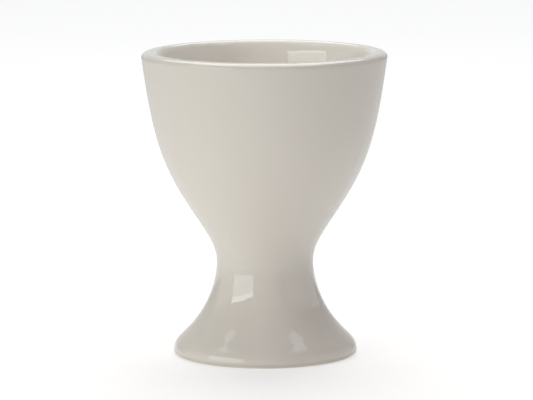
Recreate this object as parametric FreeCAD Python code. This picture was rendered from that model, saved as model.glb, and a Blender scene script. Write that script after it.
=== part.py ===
"""Footed egg cup in glazed porcelain: millimetres, +Z up, origin at the centre of the plane it stands on.

The cup is made the way a pottery makes it. A bowl and a hollow foot are formed apart and stuck together at the
waist with a film of slip. The bowl is lined with glaze, the outside is dipped, and the hollow of the foot is
glazed too. The ring that the cup stands on is wiped bare before firing.

Every piece is a solid of revolution, drawn as a half section in the XZ plane, where X is the radius. Each surface
is drawn by a function of depth: 0 is the glaze's own surface, and GLAZE_THICKNESS is the clay under it.
"""

import FreeCAD, Part
import math
import os

# Overall form, measured on the glaze
OVERALL_HEIGHT = 64.5
RIM_DIAMETER = 51.9  # where the outer wall meets the lip
WAIST_DIAMETER = 20.5
WAIST_HEIGHT = 19.7
FOOT_DIAMETER = 39.0
FOOT_EDGE_HEIGHT = 0.7  # where the foot is widest

# Control points of the outline between those circles, counted from the waist:
# (share of the height, share of the gain in radius)
BOWL_OUTLINE = [(0, 0), (0.135, 0), (0.191, 0.275), (0.463, 0.729), (0.49, 0.803), (1, 1)]
FOOT_OUTLINE = [(0, 0), (0.103, 0), (0.407, 0.026), (0.841, 0.514), (0.777, 1), (1, 1)]
OUTLINE_STEPS = 40  # points taken along each of the two

# Lip, a soft crown between the two walls
LIP_CREST_INSET = 2.3  # from the outside of the wall in to the highest circle
LIP_DROP = 1.3  # from the highest circle down to where the outer wall begins
LIP_WIDTH = 4.55  # where the inner wall begins, which is lower
LIP_INSIDE_DROP = 4.0

# Inside of the bowl, egg shaped below the lip
INNER_WALL_LEAN = 9.0  # where it begins, degrees from upright
FLOOR_ABOVE_WAIST = 10.3

# Ring that the cup stands on, bare clay
RING_INSET = 0.84  # from the foot's widest circle in to the flat
RING_FLAT_WIDTH = 1.9
RING_INNER_DROP = 0.5  # height of the rounding between the flat and the hollow
RING_INNER_RUN = 0.8  # and its width

# Hollow under the foot
HOLLOW_BELOW_WAIST = 6.5
HOLLOW_SHOULDER = (0.50, 0.68)  # shares of the ring's inner radius and of the hollow's height
HOLLOW_WALL_LEAN = 46.0  # at the ring, degrees from upright
HOLLOW_SHOULDER_LEAN = 18.0  # at the shoulder

# Slip joint and glaze
SEAM_THICKNESS = 0.5
GLAZE_THICKNESS = 0.25
GLAZE_STOP_OUTSIDE = 0.35  # height at which the outside glaze ends
GLAZE_STOP_INSIDE = 1.0  # height at which the glaze in the hollow ends

QUARTER_ELLIPSE = 0.5523  # handle share of a cubic that draws a quarter of an ellipse
LIP_HANDLE = 0.64  # fuller than an ellipse, so the lip is a little square
INNER_LIP_HANDLES = (0.72, 0.32)  # a quick turn at the crest that eases into the inner wall
EASY_HANDLE = 0.4  # handle share of a gentle bend

UP, INWARD = FreeCAD.Vector(0, 0, 1), FreeCAD.Vector(-1, 0, 0)


def point(radius, height):
    return FreeCAD.Vector(radius, 0, height)


def leaning(degrees):
    """Unit direction that rises and leans outwards by so many degrees from upright."""
    return point(math.sin(math.radians(degrees)), math.cos(math.radians(degrees)))


def bend(start, leaving, end, arriving, share, last_share=None):
    """Cubic curve between two points along two unit directions, each handle a share of its own run."""
    last_share = last_share or share
    run = end - start
    first = abs(run.x) if abs(leaving.x) > abs(leaving.z) else abs(run.z)
    last = abs(run.x) if abs(arriving.x) > abs(arriving.z) else abs(run.z)
    curve = Part.BezierCurve()
    curve.setPoles([start, start + leaving * first * share, end - arriving * last * last_share, end])
    return curve


def line(start, end):
    return Part.LineSegment(start, end)


def height_parameter(curve, height):
    """Parameter at which a curve of rising or falling height passes a height."""
    level = line(point(0, height), point(FOOT_DIAMETER, height))
    hit = curve.intersect(level)[0]
    return curve.parameter(point(hit.X, hit.Z))


# Outside: foot edge, outline, lip


def outline_half(shares, end):
    """Curve from the waist to the foot's widest circle or to the top of the bowl's wall."""
    waist = point(WAIST_DIAMETER / 2, WAIST_HEIGHT)
    gain = end - waist
    curve = Part.BezierCurve()
    curve.setPoles([waist + point(gain.x * out, gain.z * along) for along, out in shares])
    return curve


def outline(depth):
    """Outer wall from the foot's widest circle to the lip."""
    foot = outline_half(FOOT_OUTLINE, point(FOOT_DIAMETER / 2, FOOT_EDGE_HEIGHT))
    bowl = outline_half(BOWL_OUTLINE, point(RIM_DIAMETER / 2, OVERALL_HEIGHT - LIP_DROP))
    foot.reverse()
    places = [(foot, step / OUTLINE_STEPS) for step in range(OUTLINE_STEPS)]
    places += [(bowl, step / OUTLINE_STEPS) for step in range(OUTLINE_STEPS + 1)]
    points = []
    for curve, place in places:
        up = curve.tangent(place)[0]
        points.append(curve.value(place) + point(-up.z, up.x) * depth)
    wall = Part.BSplineCurve()
    wall.interpolate(points)
    return wall


def outline_ends(depth):
    """Each end of the outer wall and the direction in which the wall leaves it."""
    wall = outline(depth)
    low, high = wall.FirstParameter, wall.LastParameter
    return (wall.StartPoint, -wall.tangent(low)[0]), (wall.EndPoint, wall.tangent(high)[0])


def crest(depth):
    return point(RIM_DIAMETER / 2 - LIP_CREST_INSET, OVERALL_HEIGHT - depth)


def inner_wall_top(depth):
    top = point(RIM_DIAMETER / 2 - LIP_WIDTH, OVERALL_HEIGHT - LIP_INSIDE_DROP)
    return top + leaning(90 + INNER_WALL_LEAN) * depth


def outer_lip(depth):
    wall_top, onward = outline_ends(depth)[1]
    return bend(wall_top, onward, crest(depth), INWARD, LIP_HANDLE)


def inner_lip(depth):
    return bend(crest(depth), INWARD, inner_wall_top(depth), -leaning(INNER_WALL_LEAN), *INNER_LIP_HANDLES)


def ring_edge():
    """Bare clay between the foot's widest circle and the flat that it stands on."""
    widest, downward = outline_ends(GLAZE_THICKNESS)[0]
    return bend(widest, downward, ring_flat().StartPoint, INWARD, QUARTER_ELLIPSE)


# Inside: bowl, hollow of the foot


def bowl_floor(depth):
    return point(0, WAIST_HEIGHT + FLOOR_ABOVE_WAIST - depth)


def bowl_inside(depth):
    return bend(inner_wall_top(depth), -leaning(INNER_WALL_LEAN), bowl_floor(depth), INWARD, QUARTER_ELLIPSE)


def hollow_top(depth):
    return point(0, WAIST_HEIGHT - HOLLOW_BELOW_WAIST + depth)


def hollow_shoulder(depth):
    out, up = HOLLOW_SHOULDER
    shoulder = point(ring_flat().EndPoint.x * out, hollow_top(0).z * up)
    return shoulder + leaning(90 - HOLLOW_SHOULDER_LEAN) * depth


def hollow_dome(depth):
    return bend(hollow_shoulder(depth), leaning(-HOLLOW_SHOULDER_LEAN), hollow_top(depth), INWARD, QUARTER_ELLIPSE)


def hollow_wall(depth):
    """Wall of the hollow, from the ring's inner rounding up to the shoulder."""
    below_glaze = GLAZE_THICKNESS - depth
    start = ring_inner_top() + leaning(90 - HOLLOW_WALL_LEAN) * -below_glaze
    start.z = ring_inner_top().z
    return bend(start, leaning(-HOLLOW_WALL_LEAN), hollow_shoulder(depth), leaning(-HOLLOW_SHOULDER_LEAN), EASY_HANDLE)


def ring_flat():
    outer = point(FOOT_DIAMETER / 2 - RING_INSET, 0)
    return line(outer, outer + INWARD * RING_FLAT_WIDTH)


def ring_inner_top():
    return ring_flat().EndPoint + point(-RING_INNER_RUN, RING_INNER_DROP)


def ring_inner_round():
    return bend(ring_flat().EndPoint, INWARD, ring_inner_top(), leaning(-HOLLOW_WALL_LEAN), EASY_HANDLE)


# Half sections and solids


def section(curves):
    """Flat face inside a closed chain of curves."""
    edges = [curve.toShape() for curve in curves]
    return Part.Face(Part.Wire(Part.__sortEdges__(edges)))


def revolved(face):
    solid = face.revolve(FreeCAD.Vector(0, 0, 0), UP, 360)
    return solid if solid.Volume > 0 else solid.reversed()


def band(face, low, high):
    """Part of a half section between two heights."""
    width = RIM_DIAMETER
    corners = [point(0, low), point(width, low), point(width, high), point(0, high), point(0, low)]
    return face.common(Part.Face(Part.makePolygon(corners))).Faces[0]


def clay_section():
    clay = GLAZE_THICKNESS
    return section([
        outline(clay),
        outer_lip(clay),
        inner_lip(clay),
        bowl_inside(clay),
        line(bowl_floor(clay), hollow_top(clay)),
        hollow_dome(clay),
        hollow_wall(clay),
        ring_inner_round(),
        ring_flat(),
        ring_edge(),
    ])


def bowl():
    return revolved(band(clay_section(), WAIST_HEIGHT + SEAM_THICKNESS / 2, OVERALL_HEIGHT))


def foot():
    return revolved(band(clay_section(), 0, WAIST_HEIGHT - SEAM_THICKNESS / 2))


def slip_seam():
    half = SEAM_THICKNESS / 2
    return revolved(band(clay_section(), WAIST_HEIGHT - half, WAIST_HEIGHT + half))


def outer_glaze():
    """Coat from the lip's crest down to a rounded edge just above the ring."""
    clay = GLAZE_THICKNESS
    edge = ring_edge()
    stop = height_parameter(edge, GLAZE_STOP_OUTSIDE)
    widest, downward = outline_ends(0)[0]
    toe = bend(widest, downward, edge.value(stop), INWARD, QUARTER_ELLIPSE)
    edge.segment(edge.FirstParameter, stop)
    return revolved(section([
        outline(0),
        outer_lip(0),
        line(crest(0), crest(clay)),
        outer_lip(clay),
        outline(clay),
        edge,
        toe,
    ]))


def bowl_glaze():
    clay = GLAZE_THICKNESS
    return revolved(section([
        line(crest(clay), crest(0)),
        inner_lip(0),
        bowl_inside(0),
        line(bowl_floor(0), bowl_floor(clay)),
        bowl_inside(clay),
        inner_lip(clay),
    ]))


def foot_glaze():
    """Coat inside the hollow, ending a little above the ring."""
    walls = []
    for depth in (0, GLAZE_THICKNESS):
        wall = hollow_wall(depth)
        wall.segment(height_parameter(wall, GLAZE_STOP_INSIDE), wall.LastParameter)
        walls.append(wall)
    inner, outer = walls
    return revolved(section([
        inner,
        hollow_dome(0),
        line(hollow_top(0), hollow_top(GLAZE_THICKNESS)),
        hollow_dome(GLAZE_THICKNESS),
        outer,
        line(outer.StartPoint, inner.StartPoint),
    ]))


PIECES = {
    "bowl": bowl,
    "foot": foot,
    "slip_seam": slip_seam,
    "outer_glaze": outer_glaze,
    "bowl_glaze": bowl_glaze,
    "foot_glaze": foot_glaze,
}

os.makedirs("parts", exist_ok=True)
for name, make in PIECES.items():
    piece = make()
    piece.exportStep(f"parts/{name}.step")
    print(f"{name}: {piece.ShapeType}, valid {piece.isValid()}, {piece.Volume / 1000:.3f} cm3")
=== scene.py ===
"""Egg cup in glazed porcelain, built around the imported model: lathed pieces in metres, in the model's own frame."""
import math

import bpy
from mathutils import Matrix, Vector, noise


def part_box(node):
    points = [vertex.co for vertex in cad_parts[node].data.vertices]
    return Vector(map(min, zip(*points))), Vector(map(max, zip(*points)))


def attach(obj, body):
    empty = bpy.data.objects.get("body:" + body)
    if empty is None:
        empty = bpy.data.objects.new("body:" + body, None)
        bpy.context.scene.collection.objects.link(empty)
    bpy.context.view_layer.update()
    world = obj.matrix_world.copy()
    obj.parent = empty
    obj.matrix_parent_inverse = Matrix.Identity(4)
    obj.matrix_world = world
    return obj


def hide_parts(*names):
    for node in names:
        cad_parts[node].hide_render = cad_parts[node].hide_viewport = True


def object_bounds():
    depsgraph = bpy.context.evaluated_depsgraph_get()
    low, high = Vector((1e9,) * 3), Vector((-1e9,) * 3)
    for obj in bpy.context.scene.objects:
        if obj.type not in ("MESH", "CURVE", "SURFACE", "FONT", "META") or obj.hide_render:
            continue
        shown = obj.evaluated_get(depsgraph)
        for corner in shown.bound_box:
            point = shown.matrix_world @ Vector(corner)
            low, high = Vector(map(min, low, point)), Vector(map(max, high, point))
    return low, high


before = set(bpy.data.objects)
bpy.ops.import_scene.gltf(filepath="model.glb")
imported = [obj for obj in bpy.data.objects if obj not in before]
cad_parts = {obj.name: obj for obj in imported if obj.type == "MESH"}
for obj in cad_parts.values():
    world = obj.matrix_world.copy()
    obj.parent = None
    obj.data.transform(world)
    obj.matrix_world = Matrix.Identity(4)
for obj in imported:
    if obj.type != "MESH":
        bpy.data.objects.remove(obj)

cad_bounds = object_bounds()
MM = 0.001


# ---------------------------------------------------------------- sizes, from the frame

def top_of(node):
    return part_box(node)[1].z


def radius_of(node):
    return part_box(node)[1].x


SEAM_EDGE_FLARE = 0.004 * MM  # the seam is this much wider at its edges than at the waist
LIP_BULGE = 0.0093 * MM  # the lip swells this far past the top of the wall

GLAZE = cad_bounds[1].z - top_of("bowl")
HEIGHT = cad_bounds[1].z
WAIST_Z = (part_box("slip_seam")[0].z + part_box("slip_seam")[1].z) / 2
WAIST_R = radius_of("slip_seam") + GLAZE - SEAM_EDGE_FLARE
FOOT_R = radius_of("foot") + GLAZE
FOOT_EDGE_Z = 0.7 * MM
RIM_R = radius_of("outer_glaze") - LIP_BULGE
LIP_CREST_R = radius_of("bowl_glaze")
LIP_DROP = 1.3 * MM
LIP_WIDTH = 4.55 * MM
LIP_INSIDE_DROP = 4.0 * MM
INNER_WALL_LEAN = 9.0
BOWL_FLOOR_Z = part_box("bowl_glaze")[0].z + GLAZE
RING_R = FOOT_R - 0.84 * MM
RING_FLAT = 1.9 * MM
RING_INNER = (0.8 * MM, 0.5 * MM)
HOLLOW_Z = top_of("foot_glaze") - GLAZE
HOLLOW_SHOULDER = (0.50, 0.68)
HOLLOW_WALL_LEAN = 46.0
HOLLOW_SHOULDER_LEAN = 18.0
GLAZE_STOP_OUTSIDE = 0.35 * MM
GLAZE_STOP_INSIDE = 1.0 * MM
LINING_EDGE = 0.35 * MM  # height over which the hollow's lining rounds up to its full thickness

# poles of the outline's two halves, as shares of the rise from the waist and of the run out from it
BOWL_OUTLINE = [(0, 0), (0.135, 0), (0.191, 0.275), (0.463, 0.729), (0.49, 0.803), (1, 1)]
FOOT_OUTLINE = [(0, 0), (0.103, 0), (0.407, 0.026), (0.841, 0.514), (0.777, 1), (1, 1)]
QUARTER_ELLIPSE = 0.5523
LIP_HANDLE = 0.64
INNER_LIP_HANDLES = (0.72, 0.32)
EASY_HANDLE = 0.4

FOOT_STEPS, BOWL_STEPS = 64, 96
TOE_STEPS, LINING_TOE_STEPS, ROUNDING_STEPS = 10, 6, 10
SEAT_POINTS = 8
LINING_FRONT_POINTS, LINING_BACK_POINTS = 64, 36
TINY = 1e-7


# ---------------------------------------------------------------- half sections, as (radius, height) points

def P(r, z):
    return Vector((r, z))


def leaning(degrees):
    return P(math.sin(math.radians(degrees)), math.cos(math.radians(degrees)))


UP, DOWN, INWARD = P(0, 1), P(0, -1), P(-1, 0)


def bezier(poles, steps):
    """Points along a Bezier curve, both ends included."""
    points = []
    for i in range(steps + 1):
        t = i / steps
        level = [p.copy() for p in poles]
        while len(level) > 1:
            level = [a.lerp(b, t) for a, b in zip(level, level[1:])]
        points.append(level[0])
    return points


def bend(start, leaving, end, arriving, share, steps, last_share=None):
    """Cubic curve between two points along two unit directions, each handle a share of its own run."""
    last_share = last_share or share
    run = end - start
    first = abs(run.x) if abs(leaving.x) > abs(leaving.y) else abs(run.y)
    last = abs(run.x) if abs(arriving.x) > abs(arriving.y) else abs(run.y)
    return bezier([start, start + leaving * first * share, end - arriving * last * last_share, end], steps)


def outline_half(shares, end, steps):
    """One half of the outer outline, from the waist to its end."""
    gain = end - P(WAIST_R, WAIST_Z)
    return bezier([P(WAIST_R + gain.x * out, WAIST_Z + gain.y * up) for up, out in shares], steps)


def tangents(points):
    ends = [points[0]] + points + [points[-1]]
    return [(b - a).normalized() for a, b in zip(ends, ends[2:])]


def inset(points, depth):
    """The chain moved to its left, which is into the wall when it runs up the outside."""
    return [p + P(-t.y, t.x) * depth for p, t in zip(points, tangents(points))]


def outline(depth, steps=1.0):
    """Outer wall from the foot's widest circle up to the lip. steps scales the number of points."""
    foot = outline_half(FOOT_OUTLINE, P(FOOT_R, FOOT_EDGE_Z), int(FOOT_STEPS * steps))[::-1]
    bowl = outline_half(BOWL_OUTLINE, P(RIM_R, HEIGHT - LIP_DROP), int(BOWL_STEPS * steps))
    return inset(foot[:-1] + bowl, depth)


def outer_lip(depth, steps=20):
    """From the top of the outer wall to the highest circle of the lip."""
    wall = outline(depth)
    onward = (wall[-1] - wall[-2]).normalized()
    return bend(wall[-1], onward, P(LIP_CREST_R, HEIGHT - depth), INWARD, LIP_HANDLE, steps)


def inner_wall_top(depth):
    return P(RIM_R - LIP_WIDTH, HEIGHT - LIP_INSIDE_DROP) + leaning(90 + INNER_WALL_LEAN) * depth


def inner_lip(depth, steps=32):
    """From the highest circle of the lip to the top of the inner wall."""
    first, last = INNER_LIP_HANDLES
    return bend(P(LIP_CREST_R, HEIGHT - depth), INWARD, inner_wall_top(depth), -leaning(INNER_WALL_LEAN), first,
                steps, last)


def bowl_inside(depth, steps=72):
    """From the top of the inner wall to the middle of the floor."""
    return bend(inner_wall_top(depth), -leaning(INNER_WALL_LEAN), P(0, BOWL_FLOOR_Z - depth), INWARD,
                QUARTER_ELLIPSE, steps)


def ring_edge(steps=24):
    """Rounding of the clay from the foot's widest circle in to the flat ring."""
    widest = outline(GLAZE)[0]
    return bend(widest, DOWN, P(RING_R, 0), INWARD, QUARTER_ELLIPSE, steps)


def resample(points, count):
    """Points spaced evenly along a chain, both ends included."""
    along = [0.0]
    for a, b in zip(points, points[1:]):
        along.append(along[-1] + (b - a).length)
    spaced, seat = [points[0]], 0
    for i in range(1, count - 1):
        want = along[-1] * i / (count - 1)
        while along[seat + 1] < want:
            seat += 1
        spaced.append(points[seat].lerp(points[seat + 1], (want - along[seat]) / (along[seat + 1] - along[seat])))
    return spaced + [points[-1]]


def above(points, height):
    return [p for p in points if p.y > height]


def crossing(points, height):
    """Point where a chain of points passes a height."""
    for a, b in zip(points, points[1:]):
        if (a.y - height) * (b.y - height) <= 0 and a.y != b.y:
            return a.lerp(b, (height - a.y) / (b.y - a.y))
    raise ValueError("the chain never passes that height")


def ring_inner_top():
    return P(RING_R - RING_FLAT - RING_INNER[0], RING_INNER[1])


def hollow_shoulder(depth):
    out, up = HOLLOW_SHOULDER
    return P((RING_R - RING_FLAT) * out, HOLLOW_Z * up) + leaning(90 - HOLLOW_SHOULDER_LEAN) * depth


def hollow(depth, steps=1.0):
    """Surface of the hollow, from the ring's inner rounding up to the axis."""
    start = ring_inner_top() - leaning(90 - HOLLOW_WALL_LEAN) * (GLAZE - depth)
    start.y = RING_INNER[1]
    shoulder = hollow_shoulder(depth)
    lean = leaning(-HOLLOW_SHOULDER_LEAN)
    wall = bend(start, leaning(-HOLLOW_WALL_LEAN), shoulder, lean, EASY_HANDLE, int(36 * steps))
    dome = bend(shoulder, lean, P(0, HOLLOW_Z + depth), INWARD, QUARTER_ELLIPSE, int(32 * steps))
    return wall + dome[1:]


# ---------------------------------------------------------------- lathe

AROUND = 192
ANGLES = [2 * math.pi * k / AROUND for k in range(AROUND)]
SWELL_DEPTH, SWELLS_PER_METRE = 0.030 * MM, 62
RIPPLE_DEPTH, RIPPLES_PER_METRE = 0.008 * MM, 210


def waver(angle, seed, turns):
    """Smooth value between about -1 and 1 that closes on itself around the cup."""
    return noise.noise(Vector((math.cos(angle) * turns, math.sin(angle) * turns, seed)))


def surface_dip(point):
    """How far the glaze lies inside its ideal surface at a point: slow swells left by dipping and firing."""
    swell = noise.noise(point * SWELLS_PER_METRE + Vector((3.1, 0, 0)))
    ripple = noise.noise(point * RIPPLES_PER_METRE + Vector((0, 7.7, 0)))
    return SWELL_DEPTH * (0.5 + 0.5 * swell) + RIPPLE_DEPTH * (0.5 + 0.5 * ripple)


def outward_normals(loop):
    """Outward normal at each point of a loop that runs anticlockwise in the (radius, height) plane."""
    around = [loop[-1]] + loop + [loop[0]]
    return [P((b - a).y, -(b - a).x).normalized() for a, b in zip(around, around[2:])]


def lathe(name, loop_at, dipped=0, corners=()):
    """Closed solid of revolution.

    loop_at(angle) gives the half section there, always with the same number of points and anticlockwise in the
    (radius, height) plane. The first dipped points lie on the glaze's surface, and sink into it by surface_dip.
    The edges along the rows of points listed in corners stay sharp.
    """
    loops = [loop_at(angle) for angle in ANGLES]
    count = len(loops[0])
    for loop, angle in zip(loops, ANGLES):
        normals = outward_normals(loop)
        for index in range(dipped):
            p = loop[index]
            dip = surface_dip(Vector((p.x * math.cos(angle), p.x * math.sin(angle), p.y)))
            loop[index] = p - normals[index] * dip if p.x > TINY else P(0, p.y - dip)
    verts, faces, rows = [], [], []
    for index in range(count):
        if loops[0][index].x < TINY:
            verts.append((0, 0, loops[0][index].y))
            rows.append([len(verts) - 1] * AROUND)
            continue
        first = len(verts)
        for loop, angle in zip(loops, ANGLES):
            verts.append((loop[index].x * math.cos(angle), loop[index].x * math.sin(angle), loop[index].y))
        rows.append(list(range(first, first + AROUND)))
    for index in range(count):
        after = (index + 1) % count
        if rows[index][0] == rows[index][1] and rows[after][0] == rows[after][1]:
            continue
        for k in range(AROUND):
            following = (k + 1) % AROUND
            around_face = (rows[index][k], rows[index][following], rows[after][following], rows[after][k])
            faces.append(list(dict.fromkeys(around_face)))
    mesh = bpy.data.meshes.new(name)
    mesh.from_pydata(verts, [], faces)
    mesh.validate()
    mesh.shade_smooth()
    sharp_rows = {vertex for index in corners for vertex in rows[index]}
    for edge in mesh.edges:
        if edge.vertices[0] in sharp_rows and edge.vertices[1] in sharp_rows:
            edge.use_edge_sharp = True
    made = bpy.data.objects.new(name, mesh)
    bpy.context.scene.collection.objects.link(made)
    bpy.context.view_layer.update()
    return made


# ---------------------------------------------------------------- materials

def new_material(name):
    material = bpy.data.materials.new(name)
    material.use_nodes = True
    tree = material.node_tree
    return material, tree, tree.nodes["Principled BSDF"]


GLAZE_BODY = (0.80, 0.753, 0.682, 1)
# painted light: the bowl's lining is the same glaze as the outside, drawn lighter so the inside of the bowl reads
# brighter
GLAZE_LINING_PAINTED_LIGHTER = (0.89, 0.85, 0.785, 1)
# darker colour mixed into the outside glaze along its lower edge, near the foot
GLAZE_LOWER_EDGE_DARK = (0.42, 0.38, 0.32, 1)
LOWER_EDGE_FULL, LOWER_EDGE_END, LOWER_EDGE_SHARE = 0.6 * MM, 1.2 * MM, 0.35
DRIFT_TONE = 0.965
GLAZE_ROUGHNESS = (0.024, 0.039)
GLAZE_IOR = 1.52
PEEL_STRENGTH, PEEL_DEPTH = 0.035, 0.25 * MM
SPECK_CELLS = 210.0
SPECK_SHARE, SPECK_SIZE, SPECK_STRENGTH = 0.05, 0.042, 0.45
SPECK_COLOUR = (0.23, 0.17, 0.11, 1)
BISQUE_PALE, BISQUE_DEEP = (0.86, 0.81, 0.74, 1), (0.74, 0.68, 0.60, 1)
BISQUE_ROUGHNESS = (0.62, 0.8)
GRAIN_STRENGTH, GRAIN_DEPTH = 0.35, 0.05 * MM


class Nodes:
    """Short way to add and join shader nodes."""

    def __init__(self, tree):
        self.tree = tree

    def add(self, kind, inputs=None, **settings):
        node = self.tree.nodes.new(kind)
        for key, value in settings.items():
            setattr(node, key, value)
        for key, value in (inputs or {}).items():
            self.give(node, key, value)
        return node

    def give(self, node, key, value):
        socket = node.inputs[key]
        if isinstance(value, bpy.types.NodeSocket):
            self.tree.links.new(value, socket)
        else:
            socket.default_value = value

    def noise(self, scale, detail=2.0, rough=0.5, offset=(0, 0, 0), coords=None):
        moved = self.add("ShaderNodeMapping", {"Vector": coords, "Location": offset})
        return self.add("ShaderNodeTexNoise", {
            "Vector": moved.outputs["Vector"], "Scale": scale, "Detail": detail, "Roughness": rough,
        }).outputs["Fac"]

    def span(self, value, low, high, out_low, out_high):
        return self.add("ShaderNodeMapRange", {
            "Value": value, "From Min": low, "From Max": high, "To Min": out_low, "To Max": out_high,
        }, clamp=True).outputs["Result"]

    def math(self, kind, a, b=0.0):
        node = self.add("ShaderNodeMath", operation=kind)
        self.give(node, 0, a)
        self.give(node, 1, b)
        return node.outputs[0]

    def mix(self, fac, a, b):
        node = self.add("ShaderNodeMix", data_type="RGBA")
        self.give(node, 0, fac)
        self.give(node, 6, a)
        self.give(node, 7, b)
        return node.outputs[2]


def glaze_material(name, body, lower_edge_colour):
    """Gloss glaze. The last argument is the darker colour it is mixed towards along its lower edge."""
    material, tree, shader = new_material(name)
    n = Nodes(tree)
    coords = n.add("ShaderNodeTexCoord").outputs["Object"]
    height = n.add("ShaderNodeSeparateXYZ", {"Vector": coords}).outputs["Z"]
    # tone: broad drift, finer mottle, and a darker colour along the lower edge
    broad = n.noise(48, 2, 0.5, (0.3, 0.1, 0), coords)
    fine = n.noise(420, 3, 0.6, (0, 0.2, 0.1), coords)
    drift = n.math("ADD", n.math("MULTIPLY", broad, 0.7), n.math("MULTIPLY", fine, 0.3))
    edge = n.span(height, LOWER_EDGE_FULL, LOWER_EDGE_END, 1.0, 0.0)
    deeper = tuple(channel * DRIFT_TONE for channel in body[:3]) + (1,)
    colour = n.mix(n.span(drift, 0.35, 0.65, 0.0, 0.5), body, deeper)
    colour = n.mix(n.math("MULTIPLY", edge, LOWER_EDGE_SHARE), colour, lower_edge_colour)
    # iron specks burnt into the glaze
    cells = n.add("ShaderNodeTexVoronoi", {"Vector": coords, "Scale": SPECK_CELLS, "Randomness": 1.0})
    chosen = n.add("ShaderNodeSeparateColor", {"Color": cells.outputs["Color"]}).outputs["Red"]
    size = n.span(chosen, 1 - SPECK_SHARE, 1.0, 0.0, SPECK_SIZE)
    speck = n.math("LESS_THAN", cells.outputs["Distance"], size)
    colour = n.mix(n.math("MULTIPLY", speck, SPECK_STRENGTH), colour, SPECK_COLOUR)
    n.give(shader, "Base Color", colour)
    gloss = n.noise(130, 3, 0.6, (5, 0, 0), coords)
    n.give(shader, "Roughness", n.span(gloss, 0.3, 0.7, *GLAZE_ROUGHNESS))
    # relief: orange peel of the fired glaze, with a finer grain over it
    peel = n.noise(260, 2, 0.5, (0, 0, 2), coords)
    grain = n.noise(1500, 2, 0.5, (1, 0, 2), coords)
    relief = n.math("ADD", peel, n.math("MULTIPLY", grain, 0.10))
    bump = n.add("ShaderNodeBump", {"Height": relief, "Strength": PEEL_STRENGTH, "Distance": PEEL_DEPTH})
    n.give(shader, "Normal", bump.outputs["Normal"])
    shader.inputs["IOR"].default_value = GLAZE_IOR
    return material


def bisque_material(name):
    """Unglazed fired porcelain."""
    material, tree, shader = new_material(name)
    n = Nodes(tree)
    coords = n.add("ShaderNodeTexCoord").outputs["Object"]
    grain = n.noise(2600, 3, 0.7, (0, 0, 0), coords)
    cloud = n.noise(160, 3, 0.6, (1, 2, 0), coords)
    tone = n.math("ADD", n.math("MULTIPLY", grain, 0.5), n.math("MULTIPLY", cloud, 0.5))
    n.give(shader, "Base Color", n.mix(n.span(tone, 0.35, 0.65, 0.0, 1.0), BISQUE_PALE, BISQUE_DEEP))
    n.give(shader, "Roughness", n.span(cloud, 0.3, 0.7, *BISQUE_ROUGHNESS))
    bump = n.add("ShaderNodeBump", {"Height": grain, "Strength": GRAIN_STRENGTH, "Distance": GRAIN_DEPTH})
    n.give(shader, "Normal", bump.outputs["Normal"])
    return material


outer_finish = glaze_material("glaze_outside", GLAZE_BODY, GLAZE_LOWER_EDGE_DARK)
# the lining's glaze colour is painted lighter than the outside's, standing in for light inside the bowl
inner_glaze_painted_lighter = glaze_material("glaze_bowl_painted_lighter", GLAZE_LINING_PAINTED_LIGHTER, GLAZE_LOWER_EDGE_DARK)
hollow_finish = glaze_material("glaze_hollow", GLAZE_BODY, GLAZE_BODY)
bisque_finish = bisque_material("bare_porcelain")


# ---------------------------------------------------------------- pieces

def piece(name, node, loop_at, dipped, material, corners=()):
    """Lathed piece that stands in for a CAD node."""
    made = lathe(name, loop_at, dipped, corners)
    made.data.materials.append(material)
    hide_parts(node)
    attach(made, "root")
    return made


STOP_WANDER, STOP_JITTER = 0.16 * MM, 0.05 * MM


def stop_height(angle, middle, seed):
    """Height where the wiped lower edge of a coat ends: it wanders a little around the cup."""
    return middle + STOP_WANDER * waver(angle, seed, 1.7) + STOP_JITTER * waver(angle, seed + 5, 8)


ring_side = ring_edge(96)
outside_wall, outside_lip = outline(0), outer_lip(0)
outside_back = outer_lip(GLAZE, 8)[::-1] + outline(GLAZE, 0.5)[::-1][1:]


def outer_loop(angle):
    stop = stop_height(angle, GLAZE_STOP_OUTSIDE, 1.0)
    foot_of_coat = crossing(ring_side, stop)
    toe = bend(foot_of_coat, P(1, 0), P(FOOT_R, FOOT_EDGE_Z), UP, QUARTER_ELLIPSE, TOE_STEPS)
    seat = resample(above(ring_side, stop) + [foot_of_coat], SEAT_POINTS)
    return toe + outside_wall[1:] + outside_lip[1:] + outside_back + seat[1:-1]


on_outside = TOE_STEPS + len(outside_wall) - 1 + len(outside_lip)
piece("outer_glaze_coat", "outer_glaze", outer_loop, on_outside, outer_finish,
      (0, on_outside - 1, on_outside))

inside = inner_lip(0) + bowl_inside(0)[1:]
inside_back = bowl_inside(GLAZE, 36)[::-1] + inner_lip(GLAZE, 12)[::-1][1:]
piece("bowl_glaze_lining", "bowl_glaze", lambda angle: inside + inside_back, len(inside), inner_glaze_painted_lighter,
      (0, len(inside) + len(inside_back) - 1))

lined, backing = hollow(0, 2), hollow(GLAZE, 2)


def hollow_loop(angle):
    stop = stop_height(angle, GLAZE_STOP_INSIDE, 3.0)
    foot_of_coat, full = crossing(backing, stop), stop + LINING_EDGE
    front = [crossing(lined, full)] + above(lined, full)
    onward = (front[1] - front[0]).normalized()
    toe = bend(foot_of_coat, INWARD, front[0], onward, QUARTER_ELLIPSE, LINING_TOE_STEPS)
    back = resample([foot_of_coat] + above(backing, stop), LINING_BACK_POINTS)
    return (toe + resample(front, LINING_FRONT_POINTS)[1:] + back[::-1][:-1])[::-1]


piece("foot_glaze_lining", "foot_glaze", hollow_loop, 0, hollow_finish)

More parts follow.
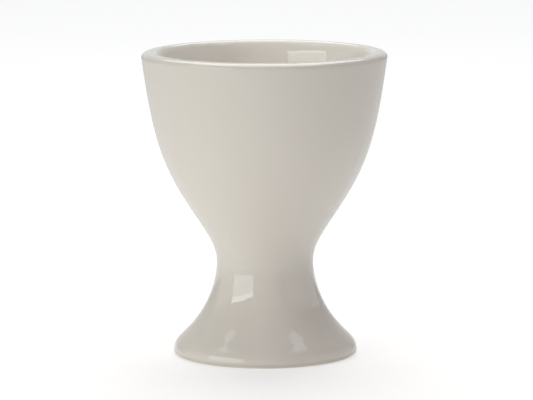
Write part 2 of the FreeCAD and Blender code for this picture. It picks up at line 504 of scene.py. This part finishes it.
inner_round = bend(P(RING_R - RING_FLAT, 0), INWARD, ring_inner_top(), leaning(-HOLLOW_WALL_LEAN), EASY_HANDLE,
                   ROUNDING_STEPS)
seam_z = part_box("slip_seam")[0].z
clay_outline = outline(GLAZE)
clay_foot = [p for p in clay_outline if p.y < seam_z] + [crossing(clay_outline, seam_z)]
foot_loop = inner_round[::-1] + ring_edge()[::-1] + clay_foot[1:] + [P(0, seam_z)] + hollow(GLAZE, 0.6)[::-1][:-1]
piece("foot_body", "foot", lambda angle: foot_loop, 0, bisque_finish)

for node in ("bowl", "slip_seam"):
    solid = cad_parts[node]
    solid.data.materials.clear()
    solid.data.materials.append(bisque_finish)


# ---------------------------------------------------------------- floor, light, camera

FLOOR_HALF = 6.0
FLOOR_DROP = 0.02 * MM  # keeps the floor's face clear of the ring that stands on it
FLOOR_WHITE = 0.5  # glow that only the camera sees
FLOOR_GLOW = 0.30  # glow that the cup sees, strongest near it
FLOOR_LIT = (0.63, 0.62, 0.61, 1)
FLOOR_DIM = (0.50, 0.50, 0.50, 1)
FLOOR_NEAR, FLOOR_FAR = 0.10, 0.70
AIM_HEIGHT = 0.035
LOBE_POWER = 6.0
WHITE = (1, 1, 1, 1)


def floor():
    """Pale table lit like an overexposed sweep.

    The light it throws back on the cup fades away from the cup, and the camera sees it nearly white.
    """
    corners = [(x * FLOOR_HALF, y * FLOOR_HALF, -FLOOR_DROP) for x, y in ((-1, -1), (1, -1), (1, 1), (-1, 1))]
    mesh = bpy.data.meshes.new("floor")
    mesh.from_pydata(corners, [], [(0, 1, 2, 3)])
    made = bpy.data.objects.new("floor", mesh)
    bpy.context.scene.collection.objects.link(made)
    material, tree, shader = new_material("pale_floor")
    n = Nodes(tree)
    coords = n.add("ShaderNodeTexCoord").outputs["Object"]
    distance = n.add("ShaderNodeVectorMath", {0: coords}, operation="LENGTH").outputs["Value"]
    fading = n.span(distance, FLOOR_NEAR, FLOOR_FAR, 0.0, 1.0)
    tone = n.span(n.noise(30, 3, 0.6, (0, 0, 0), coords), 0.3, 0.7, 0.0, 0.03)
    n.give(shader, "Base Color", n.mix(n.math("ADD", fading, tone), FLOOR_LIT, FLOOR_DIM))
    shader.inputs["Roughness"].default_value = 0.9
    shader.inputs["Specular IOR Level"].default_value = 0.0
    near_cup = n.math("MULTIPLY", n.math("SUBTRACT", 1.0, fading), FLOOR_GLOW)
    white = n.add("ShaderNodeEmission", {"Color": WHITE, "Strength": FLOOR_WHITE})
    glow = n.add("ShaderNodeEmission", {"Color": WHITE, "Strength": near_cup})
    for_camera = n.add("ShaderNodeAddShader", {0: shader.outputs[0], 1: white.outputs[0]})
    for_cup = n.add("ShaderNodeAddShader", {0: shader.outputs[0], 1: glow.outputs[0]})
    camera_ray = n.add("ShaderNodeLightPath").outputs["Is Camera Ray"]
    both = n.add("ShaderNodeMixShader", {0: camera_ray, 1: for_cup.outputs[0], 2: for_camera.outputs[0]})
    n.give(tree.nodes["Material Output"], "Surface", both.outputs[0])
    mesh.materials.append(material)


def towards(azimuth, elevation):
    """Direction from the cup. Azimuth 0 is the camera's side and grows to the camera's right."""
    az, el = math.radians(azimuth), math.radians(elevation)
    return Vector((math.sin(az) * math.cos(el), -math.cos(az) * math.cos(el), math.sin(el)))


def panel(name, away, centre, wide, high, radiance):
    """Rectangular area light, in metres, that faces back along away. radiance is linear RGB."""
    strongest = max(radiance)
    lamp = bpy.data.lights.new(name, "AREA")
    lamp.shape = "RECTANGLE"
    lamp.size, lamp.size_y = wide, high
    lamp.energy = strongest * math.pi * wide * high
    lamp.color = [value / strongest for value in radiance]
    made = bpy.data.objects.new(name, lamp)
    made.location = centre
    made.rotation_euler = away.to_track_quat("Z", "Y").to_euler()
    made.visible_camera = False
    bpy.context.scene.collection.objects.link(made)


def softbox(name, azimuth, elevation, distance, wide, high, radiance):
    """Panel aimed at the cup. wide and high are degrees as the cup sees them."""
    away = towards(azimuth, elevation)
    across, up = (2 * distance * math.tan(math.radians(angle / 2)) for angle in (wide, high))
    panel(name, away, Vector((0, 0, AIM_HEIGHT)) + away * distance, across, up, radiance)


def standing_board(name, azimuth, distance, left, right, high, radiance):
    """Lit board standing on the table, square to one direction. left and right are metres from that direction."""
    away = towards(azimuth, 0)
    across = Vector((-away.y, away.x, 0))
    centre = away * distance + across * (left + right) / 2 + Vector((0, 0, high / 2))
    panel(name, away, centre, right - left, high, radiance)


floor()
for lamp in (
    ("window", -52.5, 11, 1.4, 48, 22, (2.30, 2.36, 2.28)),
    ("window_bar", -52.5, 24.5, 1.4, 46, 5, (4.3, 4.34, 4.31)),
    ("left_wall", -100, 10, 1.4, 40, 24, (0.46, 0.45, 0.45)),
    ("left_lamp", -85, 55, 1.2, 13, 8, (1.3, 1.3, 1.3)),
    ("right_lamp", 80, 61, 1.2, 15, 10, (1.3, 1.3, 1.3)),
    ("overhead", 180, 72, 1.2, 40, 34, (2.3, 2.35, 2.35)),
    ("back", 180, 45, 1.4, 40, 26, (2.3, 2.35, 2.35)),
):
    softbox(*lamp)
standing_board("right_board", 65, 1.3, -0.28, 4.5, 0.725, (0.52, 0.51, 0.53))

# fill light: soft lobes around directions, and plain white where the camera looks past the floor
world = bpy.data.worlds.new("studio")
bpy.context.scene.world = world
world.use_nodes = True
tree = world.node_tree
tree.nodes.clear()
n = Nodes(tree)
sky = n.add("ShaderNodeTexCoord").outputs["Generated"]
total = (0, 0, 0)
for azimuth, elevation, glow in (
    (180, 0, (0.73, 0.76, 0.78)), (0, 35, (0.30, 0.27, 0.26)),
    (0, 0, (0.48, 0.48, 0.50)), (0, 90, (0.66, 0.66, 0.66)),
    (90, 35, (0.07, 0.07, 0.08)), (180, 60, (0.22, 0.22, 0.22)),
):
    near = n.add("ShaderNodeVectorMath", {0: sky, 1: towards(azimuth, elevation)}, operation="DOT_PRODUCT")
    lobe = n.math("POWER", n.math("MAXIMUM", near.outputs["Value"], 0.0), LOBE_POWER)
    part = n.add("ShaderNodeVectorMath", {0: glow, "Scale": lobe}, operation="SCALE")
    total = n.add("ShaderNodeVectorMath", {0: total, 1: part.outputs[0]}, operation="ADD").outputs[0]
felt = n.add("ShaderNodeBackground", {"Color": total, "Strength": 1.0})
seen = n.add("ShaderNodeBackground", {"Color": WHITE, "Strength": 1.0})
camera_ray = n.add("ShaderNodeLightPath").outputs["Is Camera Ray"]
both = n.add("ShaderNodeMixShader", {0: camera_ray, 1: felt.outputs[0], 2: seen.outputs[0]})
n.add("ShaderNodeOutputWorld", {"Surface": both.outputs[0]})

CAMERA_DISTANCE = 0.750
CAMERA_HEIGHT = 0.14315
CAMERA_PITCH = math.radians(8.374)
CAMERA_PAN = math.radians(0.027)
CAMERA_ROLL = math.radians(-0.20)
lens = bpy.data.cameras.new("camera")
lens.sensor_width = 36.0
lens.lens = 241.53
lens.clip_start = 0.01
camera = bpy.data.objects.new("camera", lens)
turn = (Matrix.Rotation(-CAMERA_PAN, 4, "Z") @ Matrix.Rotation(math.pi / 2 - CAMERA_PITCH, 4, "X")
        @ Matrix.Rotation(CAMERA_ROLL, 4, "Z"))
camera.matrix_world = Matrix.Translation((0, -CAMERA_DISTANCE, CAMERA_HEIGHT)) @ turn
bpy.context.scene.collection.objects.link(camera)
bpy.context.scene.camera = camera
bpy.context.scene.view_settings.view_transform = "Standard"
